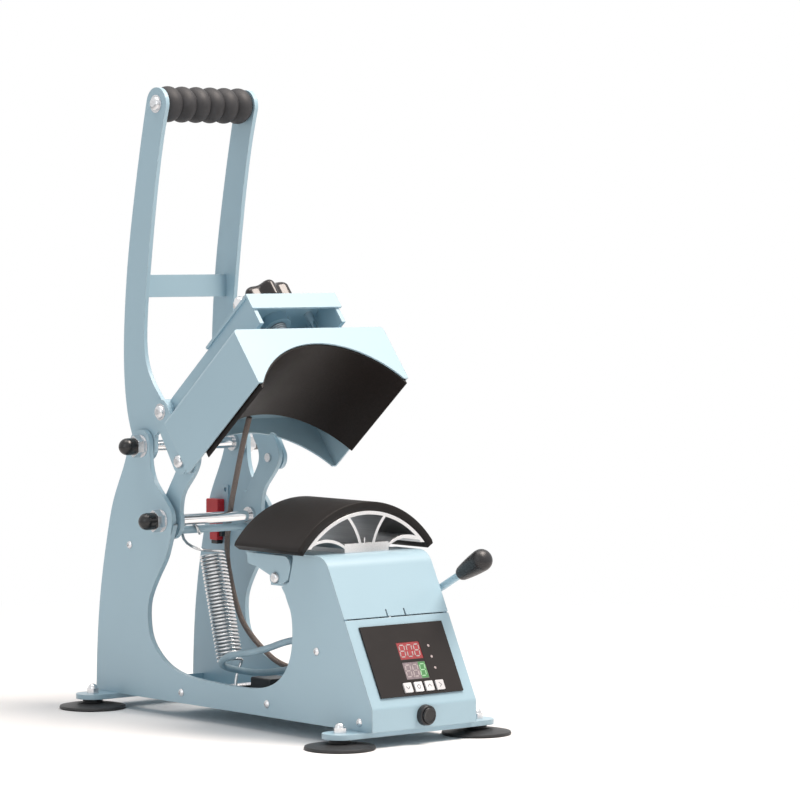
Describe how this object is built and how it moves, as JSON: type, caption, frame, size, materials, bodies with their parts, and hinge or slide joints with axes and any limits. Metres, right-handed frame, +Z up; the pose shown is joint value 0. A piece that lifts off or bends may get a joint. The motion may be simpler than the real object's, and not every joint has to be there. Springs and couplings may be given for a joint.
{
  "type": "cap heat press",
  "caption": "Manual toggle heat press for caps: curved heated head, curved padded platen, tall lever, digital control box and extension spring in an open plate frame.",
  "frame": {"origin": "on the floor, midway between the four feet", "axes": "+X to the press's right as seen from behind the control panel's back, +Y towards the lever and rear, +Z up; the control panel faces -Y"},
  "size_m": [0.2088, 0.4138, 0.556],
  "materials": {
    "blue_paint": "satin powder coat",
    "black_rubber": "matt",
    "black_plastic": "fine texture",
    "black_gloss": "gloss",
    "chrome_rod": "polished",
    "zinc_steel": "bright zinc",
    "extruded_aluminium": "mill finish",
    "foam": "soft foam",
    "coated_plate": "non-stick coating",
    "red_plastic": "satin",
    "panel_blue": "printed film",
    "window_red": "gloss",
    "lamp_red": "gloss",
    "white_key": "satin",
    "braid": "braided sleeve",
    "lead_blue": "smooth sleeve",
    "board_green": "satin"
  },
  "bodies": {
    "frame": {"left_side_plate": "blue_paint", "right_side_plate": "blue_paint", "side_screws": "zinc_steel", "front_foot_bar": "blue_paint", "rear_foot_bar": "blue_paint", "rubber_feet": "black_rubber", "foot_bolts": "zinc_steel", "upper_cover": "blue_paint", "control_cover": "blue_paint", "rear_wall": "blue_paint", "base_plate": "blue_paint", "circuit_board": "board_green", "mains_inlet": "black_plastic", "display_panel": "panel_blue", "display_windows": "window_red", "indicator_lamps": "lamp_red", "power_button_ring": "black_gloss", "upper_rod": "chrome_rod", "lower_rod": "chrome_rod", "rod_nuts": "zinc_steel", "rod_end_caps": "black_plastic", "rod_collars": "zinc_steel", "spring_anchor_rod": "zinc_steel", "platen_extrusion": "extruded_aluminium", "platen_pad": "foam", "platen_bolts": "zinc_steel", "clamp_screws": "zinc_steel", "switch_bracket": "blue_paint", "limit_switch": "red_plastic", "heater_lead": "braid", "lead_loop": "lead_blue", "lead_glands": "black_rubber", "spring": "zinc_steel"},
    "lever": {"left_lever_arm": "blue_paint", "right_lever_arm": "blue_paint", "lever_crossbars": "blue_paint", "grip": "black_rubber", "grip_rod": "zinc_steel"},
    "head_arm": {"left_head_arm": "blue_paint", "right_head_arm": "blue_paint", "front_channel": "blue_paint", "spring_bar": "zinc_steel", "arm_pins": "zinc_steel"},
    "link_pair": {"links": "blue_paint", "link_pins": "zinc_steel"},
    "head": {"head_cover": "blue_paint", "heating_element": "coated_plate", "pressure_plate": "zinc_steel", "guide_rods": "zinc_steel"},
    "screw": {"pressure_screw": "zinc_steel", "pressure_knob": "black_plastic"},
    "clamp": {"clamp_yoke": "blue_paint", "clamp_lever": "blue_paint", "clamp_grip": "black_plastic"},
    "button": {"power_button": "black_gloss"},
    "key_down": {"down_key": "white_key"},
    "key_zero": {"zero_key": "white_key"},
    "key_up": {"up_key": "white_key"},
    "key_next": {"next_key": "white_key"}
  },
  "joints": [
    {"name": "lever_pivot", "type": "hinge", "parent": "frame", "child": "lever", "pos_m": [0, 0.1265, 0.237], "axis": [1, 0, 0], "range_deg": [0, 73.84], "stiffness_Nm_per_rad": 2, "springref_deg": -91.67},
    {"name": "head_arm_pivot", "type": "hinge", "parent": "frame", "child": "head_arm", "pos_m": [0, 0.097, 0.1723], "axis": [1, 0, 0], "range_deg": [0, 39.2], "deforming": ["spring", "heater_lead"]},
    {"name": "link_pivot", "type": "hinge", "parent": "head_arm", "child": "link_pair", "pos_m": [0, 0.0702, 0.2258], "axis": [1, 0, 0], "range_deg": [-69.7, 0]},
    {"name": "head_lift", "type": "slide", "parent": "head_arm", "child": "head", "axis": [0, 0.632, 0.7749], "range_m": [0, 0.005]},
    {"name": "screw_turn", "type": "hinge", "parent": "head", "child": "screw", "pos_m": [0, 0.00806, 0.35026], "axis": [0, 0.632, 0.7749], "range_deg": [0, 900]},
    {"name": "clamp_pivot", "type": "hinge", "parent": "frame", "child": "clamp", "pos_m": [0, -0.0677, 0.1333], "axis": [1, 0, 0], "range_deg": [-16, 0]},
    {"name": "power_button_press", "type": "slide", "parent": "frame", "child": "button", "axis": [0, 1, 0], "range_m": [0, 0.002], "stiffness_N_per_m": 300, "springref_m": -0.002},
    {"name": "down_key_press", "type": "slide", "parent": "frame", "child": "key_down", "axis": [0, 0.8896, -0.4568], "range_m": [0, 0.0006], "stiffness_N_per_m": 200, "springref_m": -0.001},
    {"name": "zero_key_press", "type": "slide", "parent": "frame", "child": "key_zero", "axis": [0, 0.8896, -0.4568], "range_m": [0, 0.0006], "stiffness_N_per_m": 200, "springref_m": -0.001},
    {"name": "up_key_press", "type": "slide", "parent": "frame", "child": "key_up", "axis": [0, 0.8896, -0.4568], "range_m": [0, 0.0006], "stiffness_N_per_m": 200, "springref_m": -0.001},
    {"name": "next_key_press", "type": "slide", "parent": "frame", "child": "key_next", "axis": [0, 0.8896, -0.4568], "range_m": [0, 0.0006], "stiffness_N_per_m": 200, "springref_m": -0.001}
  ],
  "couplings": [
    {"joint": "head_arm_pivot", "follows": "lever_pivot", "ratio": 0.53086},
    {"joint": "link_pivot", "follows": "lever_pivot", "ratio": -0.94359},
    {"joint": "screw_turn", "follows": "head_lift", "rad_per_m": 3141.5}
  ]
}
